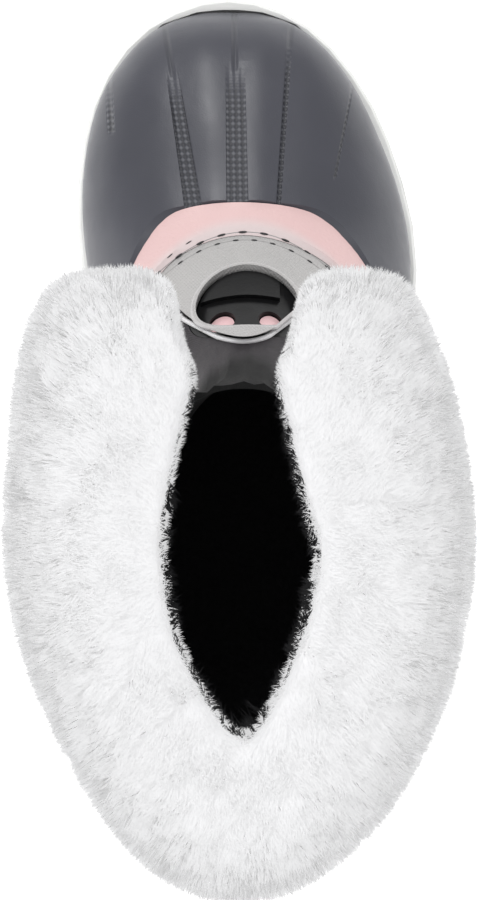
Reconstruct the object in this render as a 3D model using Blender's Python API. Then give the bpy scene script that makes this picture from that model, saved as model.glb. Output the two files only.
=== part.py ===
"""Right apres-ski boot: a ribbed rubber shell on a lugged sole, a padded upper and a deep fur cuff.

The origin is on the flat underside of the heel. The toe points along -Y, up is +Z, and the medial side is +X.
Along the boot, u is the distance in millimetres from the heel end of the sole towards the toe.
"""

import math

import bmesh
import bpy
import numpy as np
from mathutils import Vector

MM = 0.001
ORIGIN_U = 35.0
GAP = 0.3

# Wall thicknesses and offsets from the upper's outer face, in millimetres
UPPER_WALL = 3.0
SHELL_WALL = 2.5
BAND_WALL = 1.6
TONGUE_WALL = 2.0
PLATE_WALL = 2.0
FIELD_HEIGHT = 1.6
CHANNEL_DEPTH = 0.7
SHELL_FACE = GAP + SHELL_WALL
SOLE_SEAT = SHELL_FACE + GAP
LASTED_MARGIN = 12.0
BOTTOM_ENDS = (14.0, 265.0)
BOTTOM_HEIGHTS = (5.0, 40.0)

RING_POINTS = 26
OUTLINE_POINTS = 26
CUFF_POINTS = 40

# A ring stands between a point on the boot's underside or back and one on its top or front.
# medial, lateral: x of its widest points. widest: how far up the ring they lie.
# low, high: exponents of the curves below and above them.
FORM_COLUMNS = (
    "bottom_u", "bottom_z", "top_u", "top_z", "medial", "lateral", "middle", "widest", "low", "high"
)
FORM_ROWS = (
    (272.5, 35.0, 273.0, 42.0, 14.0, -8.0, 3.3, 0.50, 2.2, 2.2),
    (269.8, 31.0, 268.5, 50.0, 24.5, -18.0, 3.3, 0.48, 2.4, 2.2),
    (262.0, 27.5, 259.5, 57.5, 34.0, -27.5, 3.3, 0.42, 2.7, 2.2),
    (251.0, 25.0, 246.5, 63.0, 42.5, -36.5, 3.0, 0.38, 3.0, 2.1),
    (238.0, 23.3, 231.5, 67.0, 47.5, -43.5, 2.0, 0.35, 3.2, 2.0),
    (220.0, 22.0, 214.5, 70.5, 50.2, -50.5, 0.5, 0.33, 3.4, 1.95),
    (202.0, 22.0, 201.0, 76.5, 50.0, -54.5, -1.5, 0.32, 3.6, 1.85),
    (182.0, 22.3, 188.0, 87.5, 48.0, -56.0, -2.5, 0.30, 3.8, 1.80),
    (158.0, 23.0, 176.5, 99.0, 44.0, -53.0, -3.0, 0.28, 4.2, 1.80),
    (130.0, 24.5, 167.0, 112.0, 39.5, -48.0, -3.0, 0.27, 4.8, 1.80),
    (100.0, 26.0, 160.5, 125.0, 37.0, -43.0, -2.8, 0.27, 5.2, 1.85),
    (70.0, 27.0, 156.5, 137.5, 36.0, -39.0, -2.5, 0.29, 5.4, 1.90),
    (42.0, 27.5, 154.0, 149.5, 36.0, -38.0, -2.2, 0.32, 5.2, 2.00),
    (16.0, 28.5, 152.5, 159.5, 36.5, -38.5, -2.0, 0.36, 4.0, 2.10),
    (3.0, 38.0, 151.5, 167.5, 37.5, -39.5, -1.8, 0.41, 2.9, 2.20),
    (0.5, 64.0, 151.0, 174.0, 38.5, -40.5, -1.7, 0.45, 2.5, 2.20),
    (4.5, 100.0, 150.5, 179.0, 40.0, -42.0, -1.6, 0.48, 2.3, 2.20),
    (10.0, 138.0, 150.0, 183.0, 41.5, -43.5, -1.6, 0.50, 2.2, 2.20),
    (14.5, 171.0, 150.0, 187.0, 42.5, -44.5, -1.6, 0.50, 2.2, 2.20),
    (17.0, 200.0, 150.0, 191.0, 43.0, -45.0, -1.6, 0.50, 2.2, 2.20),
)
INSTEP_RING = 5

# Plan of the sole: x of its medial and lateral edges at u
SOLE_ENDS = (-5.0, 280.5)
SOLE_ROWS = (
    (-2.0, 14.5, -16.0),
    (5.0, 25.5, -27.5),
    (20.0, 35.5, -37.5),
    (40.0, 40.0, -42.0),
    (70.0, 40.5, -43.5),
    (100.0, 41.0, -47.0),
    (130.0, 43.5, -52.5),
    (160.0, 49.0, -59.0),
    (185.0, 54.0, -62.0),
    (205.0, 56.0, -60.5),
    (225.0, 55.0, -55.0),
    (245.0, 50.5, -46.5),
    (260.0, 42.5, -36.0),
    (270.0, 33.0, -26.0),
    (277.0, 20.5, -13.5),
)

# Side view of the sole: z of its tread, of the top of its tread layer and of its rim at u
PROFILE_ROWS = (
    (-6.0, 2.0, 12.0, 36.0),
    (6.0, 0.0, 11.0, 35.0),
    (72.0, 0.0, 11.0, 32.0),
    (84.0, 4.0, 12.5, 31.0),
    (135.0, 4.0, 12.5, 28.0),
    (148.0, 0.0, 10.0, 27.5),
    (216.0, 0.0, 10.0, 28.0),
    (240.0, 3.0, 13.0, 31.0),
    (262.0, 8.5, 18.0, 37.0),
    (282.0, 14.0, 23.5, 42.0),
)
# Levels of the sole's side: layer (0 tread to mid, 1 mid to rim), share of that layer's height, inset
SOLE_LEVELS = (
    (0, 0.00, 2.2),
    (0, 0.22, 0.4),
    (0, 0.95, 0.0),
    (1, 0.08, 1.5),
    (1, 0.26, 1.5),
    (1, 0.36, 0.2),
    (1, 0.90, 0.2),
    (1, 1.00, 1.3),
)
TREAD_DEPTH = 5.0
GROOVE_WIDTH = 5.2
HEEL_GROOVES = (16.0, 52.0)
FOREFOOT_GROOVES = (148.0, 165.5, 202.0, 219.5, 237.0, 254.0)
MID_GROOVES = (86.0, 101.0, 116.0, 131.0)
GROOVE_SWEEP = 7.0
SIDE_GROOVE_X = 19.0

# The shell's top edge in side view, from behind the heel to in front of the instep
TOPLINE = (
    (-30.0, 80.0), (0.0, 79.0), (25.0, 73.0), (60.0, 66.0), (100.0, 63.5), (140.0, 65.5),
    (170.0, 70.0), (190.0, 72.0), (202.0, 71.5), (207.5, 73.5), (210.5, 80.0), (212.0, 100.0),
)
BAND_WIDTH = 8.0

# Recessed channels of the shell in plan: (u, left x, right x) at the front and at the back
CHANNELS = (
    ((254.0, 4.4, -2.2), (206.0, 4.0, -3.4)),
    ((252.0, 24.4, 20.0), (204.0, 17.7, 11.5)),
    ((262.0, -16.2, -18.2), (204.0, -12.2, -13.9)),
)

# The oval cut-out at the instep: centre, half width, half length along the slope, tilt of the slope
WINDOW_CENTRE = (-3.0, 175.8, 100.0)
WINDOW_HALF = (17.0, 16.0)
WINDOW_TILT = math.radians(44.0)
PLATE_MARGIN = 2.2
FIELD = ((-10.5, 3.2), (16.0, 3.2), (16.0, 16.0), (-10.5, 16.0))
FIELD_RIM = 1.2
LOBES = ((8.4, -7.6, 4.4, 5.0), (-7.4, -7.6, 3.9, 4.8))
UNDERLAY = ((-15.0, -1.0), (15.0, -1.0), (15.0, -15.5), (-15.0, -15.5))
UNDERLAY_WALL = 1.4

# Plan of the throat's front edge, (x, u), which is the rounded tip of the instep panel
THROAT_EDGE = (
    (25.0, 178.0), (20.0, 172.8), (14.0, 167.8), (6.3, 163.8), (-3.0, 162.2),
    (-12.0, 165.6), (-20.7, 173.2), (-27.0, 180.0),
)
THROAT_BACK = 125.0
THROAT_LOW = 76.0
# Front view of the tongue, (x, z)
TONGUE_OUTLINE = (
    (-33.0, 80.0), (29.0, 80.0), (27.0, 172.0), (14.0, 184.0), (-17.0, 184.0), (-30.0, 172.0),
)
PIPING_GAP = 1.6
PIPING_WIDTH = 2.4

# The fur cuff: plan of its outer face, heights with insets, and plan of its inner edge
CUFF_ENDS = (-14.0, 184.0)
CUFF_ROWS = (
    (-11.5, 14.0, -15.0),
    (-3.0, 32.0, -31.0),
    (18.0, 47.0, -53.0),
    (49.0, 65.0, -66.5),
    (74.0, 71.0, -71.5),
    (100.0, 72.5, -72.5),
    (134.0, 69.5, -68.0),
    (157.0, 66.5, -61.5),
    (173.0, 61.0, -54.0),
    (181.0, 46.0, -42.0),
)
CUFF_LEVELS = (
    (136.0, 24.0), (138.5, 14.0), (146.0, 6.5), (158.0, 3.5), (177.0, 4.0), (193.0, 6.5), (205.0, 11.5),
    (213.0, 18.5), (216.0, 27.0),
)
CUFF_INNER = (
    (39.5, -1.5, -2.5), (44.0, 4.5, -7.5), (52.0, 10.5, -11.5), (72.0, 20.0, -20.0), (95.0, 23.5, -24.5),
    (113.0, 22.0, -20.5), (135.0, 17.5, -15.5), (148.0, 15.0, -13.0), (157.0, 18.5, -17.0),
    (175.0, 21.5, -21.0), (195.0, 24.0, -24.0),
)
CUFF_INSIDE_Z = 186.0
# Rows of locks: height, inset, count, how far their tips lean up, and size
LOCK_ROWS = (
    (150.0, 7.5, 12, -1.6, 0.80), (165.0, 5.0, 13, -1.6, 0.85), (181.0, 5.5, 13, -1.4, 0.80),
    (194.0, 8.0, 12, -1.0, 0.60),
)
LOCK_LENGTH = 30.0
LOCK_RADII = (13.0, 2.5)
LOCK_SUNK = 4.0

COLOURS = {
    "outsole": (0.76, 0.77, 0.75, 0.62),
    "insole": (0.02, 0.02, 0.022, 0.95),
    "upper": (0.52, 0.51, 0.50, 0.80),
    "shell": (0.085, 0.09, 0.105, 0.42),
    "vamp_band": (0.80, 0.58, 0.58, 0.70),
    "tongue": (0.035, 0.03, 0.035, 0.45),
    "throat_piping": (0.70, 0.69, 0.70, 0.60),
    "throat_plate": (0.012, 0.012, 0.013, 0.28),
    "throat_underlay": (0.80, 0.56, 0.58, 0.75),
    "fur_cuff": (0.87, 0.87, 0.88, 0.95),
}


def clear_scene():
    for obj in list(bpy.data.objects):
        bpy.data.objects.remove(obj)


def new_collection(name):
    collection = bpy.data.collections.new(name)
    bpy.context.scene.collection.children.link(collection)
    return collection


def point(x, u, z):
    """A point of the boot's frame in metres."""
    return (x * MM, (ORIGIN_U - u) * MM, z * MM)


def material_of(name):
    red, green, blue, roughness = COLOURS[name]
    material = bpy.data.materials.new(name)
    material.use_nodes = True
    shader = material.node_tree.nodes["Principled BSDF"]
    shader.inputs["Base Color"].default_value = (red, green, blue, 1.0)
    shader.inputs["Roughness"].default_value = roughness
    shader.inputs["Metallic"].default_value = 0.0
    return material


def object_of(name, bm, collection):
    bmesh.ops.recalc_face_normals(bm, faces=bm.faces)
    if bm.calc_volume(signed=True) < 0.0:
        bmesh.ops.reverse_faces(bm, faces=bm.faces)
    mesh = bpy.data.meshes.new(name)
    bm.to_mesh(mesh)
    bm.free()
    obj = bpy.data.objects.new(name, mesh)
    collection.objects.link(obj)
    return obj


def part(name, bm):
    obj = object_of(name, bm, PARTS)
    obj.data.materials.append(material_of(name))
    return obj


def cutter(name, bm):
    obj = object_of(name, bm, CUTTERS)
    obj.hide_render = True
    obj.display_type = "WIRE"
    return obj


def boolean(target, operation, tool):
    modifier = target.modifiers.new(f"{operation.lower()} {tool.name}", "BOOLEAN")
    modifier.operation = operation
    modifier.solver = "EXACT"
    modifier.object = tool
    return modifier


def loft(rings, first_tip=None, last_tip=None):
    """A closed body through rings of equal length, each end closed to a point."""
    bm = bmesh.new()
    rows = [[bm.verts.new(p) for p in ring] for ring in rings]
    count = len(rows[0])
    for lower, upper in zip(rows, rows[1:]):
        for i in range(count):
            j = (i + 1) % count
            bm.faces.new((lower[i], lower[j], upper[j]))
            bm.faces.new((lower[i], upper[j], upper[i]))
    for row, tip in ((rows[0], first_tip), (rows[-1], last_tip)):
        centre = bm.verts.new(tip if tip is not None else np.mean([v.co for v in row], axis=0))
        for i in range(count):
            bm.faces.new((row[i], row[(i + 1) % count], centre))
    return bm


def prism(corners, direction):
    """The solid swept by a polygon along a direction."""
    bm = bmesh.new()
    face = bm.faces.new([bm.verts.new(p) for p in corners])
    swept = bmesh.ops.extrude_face_region(bm, geom=[face])
    moved = [item for item in swept["geom"] if isinstance(item, bmesh.types.BMVert)]
    bmesh.ops.translate(bm, verts=moved, vec=Vector(direction) * MM)
    return bm


def plan_prism(loop, low, high):
    return prism([point(x, u, low) for x, u in loop], (0.0, 0.0, high - low))


def side_prism(polygon, half_width=130.0):
    return prism([point(-half_width, u, z) for u, z in polygon], (2.0 * half_width, 0.0, 0.0))


def front_prism(polygon, first_u, last_u):
    return prism([point(x, first_u, z) for x, z in polygon], (0.0, first_u - last_u, 0.0))


def superellipse(angle, low, high):
    """Share of the half width and of the height at an angle from the medial side."""
    across, up = math.cos(angle), math.sin(angle)
    power = 2.0 / (high if up > 0.0 else low)
    return math.copysign(abs(across) ** power, across), math.copysign(abs(up) ** power, up)


def form_ring(row):
    r = dict(zip(FORM_COLUMNS, row))
    ring = []
    for i in range(RING_POINTS):
        across, up = superellipse(2.0 * math.pi * i / RING_POINTS, r["low"], r["high"])
        share = r["widest"] + up * ((1.0 - r["widest"]) if up > 0.0 else r["widest"])
        half = r["medial"] - r["middle"] if across > 0.0 else r["middle"] - r["lateral"]
        u = r["bottom_u"] + share * (r["top_u"] - r["bottom_u"])
        z = r["bottom_z"] + share * (r["top_z"] - r["bottom_z"])
        ring.append(point(r["middle"] + across * half, u, z))
    return ring


def form_normals(rings, tip):
    """Outward directions at the points of the form, from the faces round each."""
    normals = np.zeros_like(rings)
    after = np.roll(rings, -1, axis=1)
    faces = np.cross(rings[1:] - rings[:-1], after[:-1] - rings[:-1])
    faces += np.cross(rings[1:] - after[1:], after[:-1] - after[1:]) * -1.0
    for shifted in (faces, np.roll(faces, 1, axis=1)):
        normals[:-1] += shifted
        normals[1:] += shifted
    middles = rings.mean(axis=1, keepdims=True)
    normals *= np.sign((normals * (rings - middles)).sum())
    cap = np.cross(rings[0] - tip, after[0] - tip)
    cap = np.array((0.0, -1.0, 0.0)) * np.linalg.norm(cap, axis=1, keepdims=True)
    normals[0] += cap + np.roll(cap, 1, axis=0)
    return normals / np.linalg.norm(normals, axis=2, keepdims=True)


def form(offset, first=0, rise=0.0):
    """The boot's form moved out by offset, from ring first on, and carried rise above its top edge."""
    rings = np.array([form_ring(row) for row in FORM_ROWS])
    tip = rings[0].mean(axis=0) + (0.0, -1.4 * MM, 0.0)
    rings = rings + form_normals(rings, tip) * offset * MM
    tip = tip + (0.0, -offset * MM, 0.0)
    chosen = list(rings[first:])
    if rise:
        chosen.append(chosen[-1] + (0.0, 0.0, rise * MM))
    return loft(chosen, first_tip=None if first else tip)


def along(rows, ends, t):
    """Both edges of a plan at t, 0 to 1 from one end to the other, as smooth curves through the rows."""
    length = ends[1] - ends[0]
    known = [0.0] + [math.acos(1.0 - 2.0 * (row[0] - ends[0]) / length) / math.pi for row in rows] + [1.0]
    middles = [0.5 * (rows[0][1] + rows[0][2])] + [0.5 * (r[1] + r[2]) for r in rows]
    middles.append(middles[-1])
    halves = [0.0] + [0.5 * (r[1] - r[2]) for r in rows] + [0.0]
    u = ends[0] + length * 0.5 * (1.0 - math.cos(math.pi * t))
    return u, smooth(known, middles, t), smooth(known, halves, t)


def smooth(known, values, t):
    """Cubic through the values, with slopes from their neighbours."""
    known, values = np.asarray(known), np.asarray(values)
    slopes = np.gradient(values, known)
    i = min(max(int(np.searchsorted(known, t)) - 1, 0), len(known) - 2)
    width = known[i + 1] - known[i]
    s = (t - known[i]) / width
    start, end = values[i], values[i + 1]
    turn = slopes[i] * width, slopes[i + 1] * width
    return (
        start * (1 + 2 * s) * (1 - s) ** 2 + turn[0] * s * (1 - s) ** 2
        + end * s * s * (3 - 2 * s) - turn[1] * s * s * (1 - s)
    )


def plan_loop(rows, ends, count):
    """A closed plan as (x, u), up the medial edge and back down the lateral edge."""
    medial, lateral = [], []
    for i in range(count // 2 + 1):
        u, middle, half = along(rows, ends, i / (count // 2))
        medial.append((middle + half, u))
        lateral.append((middle - half, u))
    return medial + lateral[-2:0:-1]


def inset(loop, distance):
    """The loop moved inwards by a distance."""
    points = np.array(loop)
    tangent = np.roll(points, -1, axis=0) - np.roll(points, 1, axis=0)
    tangent /= np.linalg.norm(tangent, axis=1, keepdims=True)
    inward = np.stack([-tangent[:, 1], tangent[:, 0]], axis=1)
    inward *= np.sign((inward * (points.mean(axis=0) - points)).sum())
    return [tuple(p) for p in points + inward * distance]


def shrunk(loop, distance):
    """The loop drawn in towards its middle, by the distance at its widest and at its ends."""
    points = np.array(loop)
    low, high = points.min(axis=0), points.max(axis=0)
    middle, half = 0.5 * (low + high), 0.5 * (high - low)
    return [tuple(p) for p in middle + (points - middle) * (1.0 - distance / half)]


def profile(u, column):
    return float(np.interp(u, [r[0] for r in PROFILE_ROWS], [r[column] for r in PROFILE_ROWS]))


def sole_body():
    outline = plan_loop(SOLE_ROWS, SOLE_ENDS, 2 * OUTLINE_POINTS)
    rings = []
    for layer, share, distance in SOLE_LEVELS:
        ring = []
        for x, u in inset(outline, distance):
            low, high = profile(u, 1 + layer), profile(u, 2 + layer)
            ring.append(point(x, u, low + share * (high - low)))
        rings.append(ring)
    return ladder(rings)


def ladder(rings):
    """A body between plan loops, whose ends are closed by strips from the medial to the lateral edge."""
    bm = bmesh.new()
    rows = [[bm.verts.new(p) for p in ring] for ring in rings]
    count = len(rows[0])
    for lower, upper in zip(rows, rows[1:]):
        for i in range(count):
            j = (i + 1) % count
            bm.faces.new((lower[i], lower[j], upper[j], upper[i]))
    for row in (rows[0], rows[-1]):
        for i in range(count // 2):
            corners = [row[i], row[i + 1], row[-i - 1], row[-i]]
            bm.faces.new([v for k, v in enumerate(corners) if v not in corners[:k]])
    return bm


def groove(u, sweep, half_width=70.0):
    """A chevron bar across the tread, its roof at the depth of the tread there."""
    low, high = profile(u, 1) - 6.0, profile(u, 1) + TREAD_DEPTH
    w = GROOVE_WIDTH / 2.0
    corners = [
        (-half_width, u - sweep - w), (0.0, u - w), (half_width, u - sweep - w),
        (half_width, u - sweep + w), (0.0, u + w), (-half_width, u - sweep + w),
    ]
    return plan_prism(corners, low, high)


def lengthwise_groove(x, first_u, last_u):
    w = GROOVE_WIDTH / 2.0
    corners = [(x - w, first_u), (x + w, first_u), (x + w, last_u), (x - w, last_u)]
    return plan_prism(corners, -6.0, TREAD_DEPTH)


def make_outsole():
    outsole = part("outsole", sole_body())
    boolean(outsole, "DIFFERENCE", cutter("sole_seat", form(SOLE_SEAT, rise=20.0)))
    for u in HEEL_GROOVES + FOREFOOT_GROOVES + MID_GROOVES:
        sweep = -GROOVE_SWEEP if u in HEEL_GROOVES else GROOVE_SWEEP
        boolean(outsole, "DIFFERENCE", cutter(f"groove_{u:.0f}", groove(u, sweep)))
    for side in (-1.0, 1.0):
        x = side * SIDE_GROOVE_X
        boolean(outsole, "DIFFERENCE", cutter("groove_heel", lengthwise_groove(x, 9.0, 62.0)))
        boolean(outsole, "DIFFERENCE", cutter("groove_ball", lengthwise_groove(x, 152.0, 216.0)))


def bottom_loop(distance):
    """Plan of the opening under the foot, drawn in by a distance from the edge of the sole."""
    loop = np.array(inset(plan_loop(SOLE_ROWS, SOLE_ENDS, OUTLINE_POINTS), distance))
    clearance = distance - LASTED_MARGIN
    first, last = BOTTOM_ENDS[0] + clearance, BOTTOM_ENDS[1] - clearance
    share = (loop[:, 1] - loop[:, 1].min()) / np.ptp(loop[:, 1])
    loop[:, 1] = first + share * (last - first)
    return [tuple(p) for p in loop]


def make_insole():
    insole = part("insole", plan_prism(bottom_loop(LASTED_MARGIN + GAP), *BOTTOM_HEIGHTS))
    boolean(insole, "INTERSECT", cutter("insole_seat", form(SHELL_FACE)))
    boolean(insole, "DIFFERENCE", cutter("foot_room", form(-UPPER_WALL, rise=20.0)))


def offset_line(line, distance):
    """An open line moved by a distance to the left of its run."""
    points = np.array(line)
    tangent = np.gradient(points, axis=0)
    tangent /= np.linalg.norm(tangent, axis=1, keepdims=True)
    leftward = np.stack([-tangent[:, 1], tangent[:, 0]], axis=1)
    return [tuple(p) for p in points + leftward * distance]


def strip(line, near, far):
    """The strip between two distances to the left of a line."""
    return offset_line(line, near) + offset_line(line, far)[::-1]


def above_topline(distance):
    """Side view of everything above and behind the topline, moved up by a distance."""
    edge = offset_line(TOPLINE, distance)
    return edge + [(edge[-1][0], 260.0), (-30.0, 260.0)]


def make_shell():
    shell = part("shell", form(SHELL_FACE))
    boolean(shell, "DIFFERENCE", cutter("shell_room", form(GAP, rise=20.0)))
    boolean(shell, "DIFFERENCE", cutter("shell_top", side_prism(above_topline(0.0))))
    bottom = plan_prism(bottom_loop(LASTED_MARGIN), *BOTTOM_HEIGHTS)
    boolean(shell, "DIFFERENCE", cutter("shell_bottom", bottom))
    core = cutter("channel_floor", form(SHELL_FACE - CHANNEL_DEPTH, rise=20.0))
    for number, ((u0, a0, b0), (u1, a1, b1)) in enumerate(CHANNELS):
        corners = [(a0, u0), (b0, u0), (b1, u1), (a1, u1)]
        bar = cutter(f"channel_{number}", plan_prism(corners, 47.0, 110.0))
        boolean(bar, "DIFFERENCE", core)
        boolean(shell, "DIFFERENCE", bar)


def make_band():
    band = part("vamp_band", form(GAP + BAND_WALL))
    boolean(band, "DIFFERENCE", cutter("band_room", form(GAP, rise=20.0)))
    boolean(band, "INTERSECT", cutter("band_strip", side_prism(strip(TOPLINE, GAP, BAND_WIDTH))))


def window_frame():
    """Axes of the instep's slope at the cut-out: across, back and up the slope, and out of it."""
    centre = Vector(point(*WINDOW_CENTRE))
    up_slope = Vector((0.0, math.cos(WINDOW_TILT), math.sin(WINDOW_TILT)))
    outward = Vector((0.0, -math.sin(WINDOW_TILT), math.cos(WINDOW_TILT)))
    return centre, Vector((1.0, 0.0, 0.0)), up_slope, outward


def slope_prism(polygon, low, high):
    """The solid over a polygon on the instep's slope, given as (x from the centre, distance down the slope)."""
    centre, across, up_slope, outward = window_frame()
    corners = [centre + (across * x + up_slope * -d + outward * low) * MM for x, d in polygon]
    return prism([tuple(c) for c in corners], outward * (high - low))


def oval(centre_x, centre_d, half_x, half_d, count=32):
    turns = [2.0 * math.pi * i / count for i in range(count)]
    return [(centre_x + half_x * math.cos(a), centre_d + half_d * math.sin(a)) for a in turns]


def throat_polygon():
    """Plan of the cut-out in which the tongue shows."""
    return list(THROAT_EDGE) + [(THROAT_EDGE[-1][0], THROAT_BACK), (THROAT_EDGE[0][0], THROAT_BACK)]


def make_upper():
    upper = part("upper", form(0.0))
    boolean(upper, "DIFFERENCE", cutter("upper_room", form(-UPPER_WALL, rise=20.0)))
    bottom = plan_prism(bottom_loop(LASTED_MARGIN), *BOTTOM_HEIGHTS)
    boolean(upper, "DIFFERENCE", cutter("upper_bottom", bottom))
    window = slope_prism(oval(0.0, 0.0, *WINDOW_HALF), -14.0, 20.0)
    boolean(upper, "DIFFERENCE", cutter("window", window))
    boolean(upper, "DIFFERENCE", cutter("throat", plan_prism(throat_polygon(), THROAT_LOW, 240.0)))


def make_tongue():
    tongue = part("tongue", form(-UPPER_WALL - GAP, first=INSTEP_RING))
    room = form(-UPPER_WALL - GAP - TONGUE_WALL, first=INSTEP_RING - 1, rise=20.0)
    boolean(tongue, "DIFFERENCE", cutter("tongue_room", room))
    boolean(tongue, "INTERSECT", cutter("tongue_outline", front_prism(TONGUE_OUTLINE, 120.0, 205.0)))
    half = [h + PLATE_MARGIN + GAP for h in WINDOW_HALF]
    boolean(tongue, "DIFFERENCE", cutter("tongue_oval", slope_prism(oval(0.0, 0.0, *half), -16.0, 20.0)))


def make_piping():
    piping = part("throat_piping", form(-UPPER_WALL + 1.6, first=INSTEP_RING))
    room = form(-UPPER_WALL, first=INSTEP_RING - 1, rise=20.0)
    boolean(piping, "DIFFERENCE", cutter("piping_room", room))
    outline = strip(THROAT_EDGE[1:-1], PIPING_GAP, PIPING_GAP + PIPING_WIDTH)
    boolean(piping, "INTERSECT", cutter("piping_strip", plan_prism(outline, THROAT_LOW, 160.0)))


def make_plate():
    depth = UPPER_WALL + GAP
    plate = part("throat_plate", form(-depth, first=INSTEP_RING - 1))
    room = form(-depth - PLATE_WALL, first=INSTEP_RING - 2, rise=20.0)
    boolean(plate, "DIFFERENCE", cutter("plate_room", room))
    half = [h + PLATE_MARGIN for h in WINDOW_HALF]
    boolean(plate, "INTERSECT", cutter("plate_oval", slope_prism(oval(0.0, 0.0, *half), -16.0, 20.0)))
    for number, (x, d, half_x, half_d) in enumerate(LOBES):
        lobe = slope_prism(oval(x, d, half_x, half_d, 16), -16.0, 20.0)
        boolean(plate, "DIFFERENCE", cutter(f"lobe_{number}", lobe))
    boolean(plate, "UNION", raised_field(depth))


def raised_field(depth):
    """The plate's raised rectangle, which is left bare."""
    field = cutter("field", form(-depth + FIELD_HEIGHT, first=INSTEP_RING - 1))
    room = form(-depth - 0.5 * PLATE_WALL, first=INSTEP_RING - 2, rise=20.0)
    boolean(field, "DIFFERENCE", cutter("field_room", room))
    inside = [h - FIELD_RIM for h in WINDOW_HALF]
    boolean(field, "INTERSECT", cutter("field_oval", slope_prism(oval(0.0, 0.0, *inside), -16.0, 20.0)))
    boolean(field, "INTERSECT", cutter("field_sides", slope_prism(FIELD, -16.0, 20.0)))
    return field


def make_underlay():
    depth = UPPER_WALL + PLATE_WALL + 2.0 * GAP
    underlay = part("throat_underlay", form(-depth, first=INSTEP_RING - 1))
    room = form(-depth - UNDERLAY_WALL, first=INSTEP_RING - 2, rise=20.0)
    boolean(underlay, "DIFFERENCE", cutter("underlay_room", room))
    boolean(underlay, "INTERSECT", cutter("underlay_sides", slope_prism(UNDERLAY, -16.0, 20.0)))


def make_fur():
    outline = plan_loop(CUFF_ROWS, CUFF_ENDS, CUFF_POINTS)
    rings = [[point(x, u, z) for x, u in shrunk(outline, d)] for z, d in CUFF_LEVELS]
    cuff = part("fur_cuff", ladder(rings))
    boolean(cuff, "UNION", cutter("locks", locks())).use_self = True
    slot = cutter("cuff_slot", form(GAP, first=INSTEP_RING, rise=GAP))
    lining = cutter("cuff_lining", form(-UPPER_WALL - GAP, first=INSTEP_RING, rise=20.0))
    high = [(-40.0, CUFF_INSIDE_Z), (-40.0, 240.0), (230.0, 240.0), (230.0, CUFF_INSIDE_Z)]
    boolean(lining, "INTERSECT", cutter("cuff_inside", side_prism(high)))
    boolean(slot, "DIFFERENCE", lining)
    boolean(cuff, "DIFFERENCE", slot)
    edge = [(m, u) for u, m, _ in CUFF_INNER] + [(l, u) for u, _, l in reversed(CUFF_INNER)]
    boolean(cuff, "DIFFERENCE", cutter("cuff_opening", plan_prism(edge, 90.0, 250.0)))


def locks():
    """Tapered tufts in staggered rows over the cuff, joined where they cross."""
    bm = bmesh.new()
    outline = plan_loop(CUFF_ROWS, CUFF_ENDS, 240)
    for number, (z, distance, count, lean, size) in enumerate(LOCK_ROWS):
        loop = shrunk(outline, distance)
        for k in range(count):
            place = int((k + 0.5 * (number % 2)) / count * len(loop)) % len(loop)
            x, u = loop[place]
            ahead, behind = loop[(place + 3) % len(loop)], loop[place - 3]
            outward = Vector((ahead[1] - behind[1], ahead[0] - behind[0], 0.0)).normalized()
            direction = Vector((outward.x, outward.y, lean)).normalized()
            own_size = size * (1.0 + 0.12 * math.sin(5.1 * k + 2.3 * number))
            add_lock(bm, Vector(point(x, u, z)), direction, own_size)
    return bm


def add_lock(bm, place, direction, size):
    made = bmesh.ops.create_cone(
        bm, cap_ends=True, segments=4, radius1=LOCK_RADII[0] * size * MM,
        radius2=LOCK_RADII[1] * size * MM, depth=LOCK_LENGTH * size * MM,
    )
    turn = direction.to_track_quat("Z", "Y").to_matrix()
    bmesh.ops.rotate(bm, verts=made["verts"], cent=(0.0, 0.0, 0.0), matrix=turn)
    bmesh.ops.translate(bm, verts=made["verts"], vec=place - direction * LOCK_SUNK * MM)


clear_scene()
PARTS = new_collection("apres_ski_boot")
CUTTERS = new_collection("cutters")
make_outsole()
make_insole()
make_upper()
make_tongue()
make_shell()
make_band()
make_piping()
make_plate()
make_underlay()
make_fur()
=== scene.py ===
import math

import bmesh
import bpy
import numpy as np
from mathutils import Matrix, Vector
from mathutils.bvhtree import BVHTree
from mathutils.kdtree import KDTree


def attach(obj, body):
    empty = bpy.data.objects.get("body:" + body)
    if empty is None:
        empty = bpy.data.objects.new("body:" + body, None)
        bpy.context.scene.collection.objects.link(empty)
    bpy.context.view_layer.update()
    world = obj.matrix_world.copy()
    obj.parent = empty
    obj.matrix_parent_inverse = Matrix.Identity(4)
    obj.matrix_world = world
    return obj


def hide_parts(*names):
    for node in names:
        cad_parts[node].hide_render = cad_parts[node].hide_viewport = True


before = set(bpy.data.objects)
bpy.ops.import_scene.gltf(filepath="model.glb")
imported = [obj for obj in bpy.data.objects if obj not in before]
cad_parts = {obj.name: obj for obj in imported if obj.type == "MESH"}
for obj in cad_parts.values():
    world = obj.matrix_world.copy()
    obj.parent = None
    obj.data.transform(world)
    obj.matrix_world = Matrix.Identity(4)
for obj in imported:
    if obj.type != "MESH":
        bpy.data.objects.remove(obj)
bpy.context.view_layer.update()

# The camera looks straight down on the boot, with the toe at the top of the picture. Places on the boot are
# given in millimetres: x across, u along from the heel end of the sole, and z up.
MM = 0.001
ORIGIN_U = 35.0
CAMERA_U = 126.0
CAMERA_HEIGHT = 1200.0
LENS = 135.5


def place(x, u, z):
    """The point in metres at x, u and z."""
    return Vector((x * MM, (ORIGIN_U - u) * MM, z * MM))


camera = bpy.data.objects.new("camera", bpy.data.cameras.new("camera"))
camera.data.lens = LENS
camera.data.sensor_width = 36.0
camera.location = place(0.0, CAMERA_U, CAMERA_HEIGHT)
camera.rotation_euler = (0.0, 0.0, math.pi)
bpy.context.scene.collection.objects.link(camera)
bpy.context.scene.camera = camera
bpy.context.scene.view_settings.view_transform = "Standard"

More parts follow.
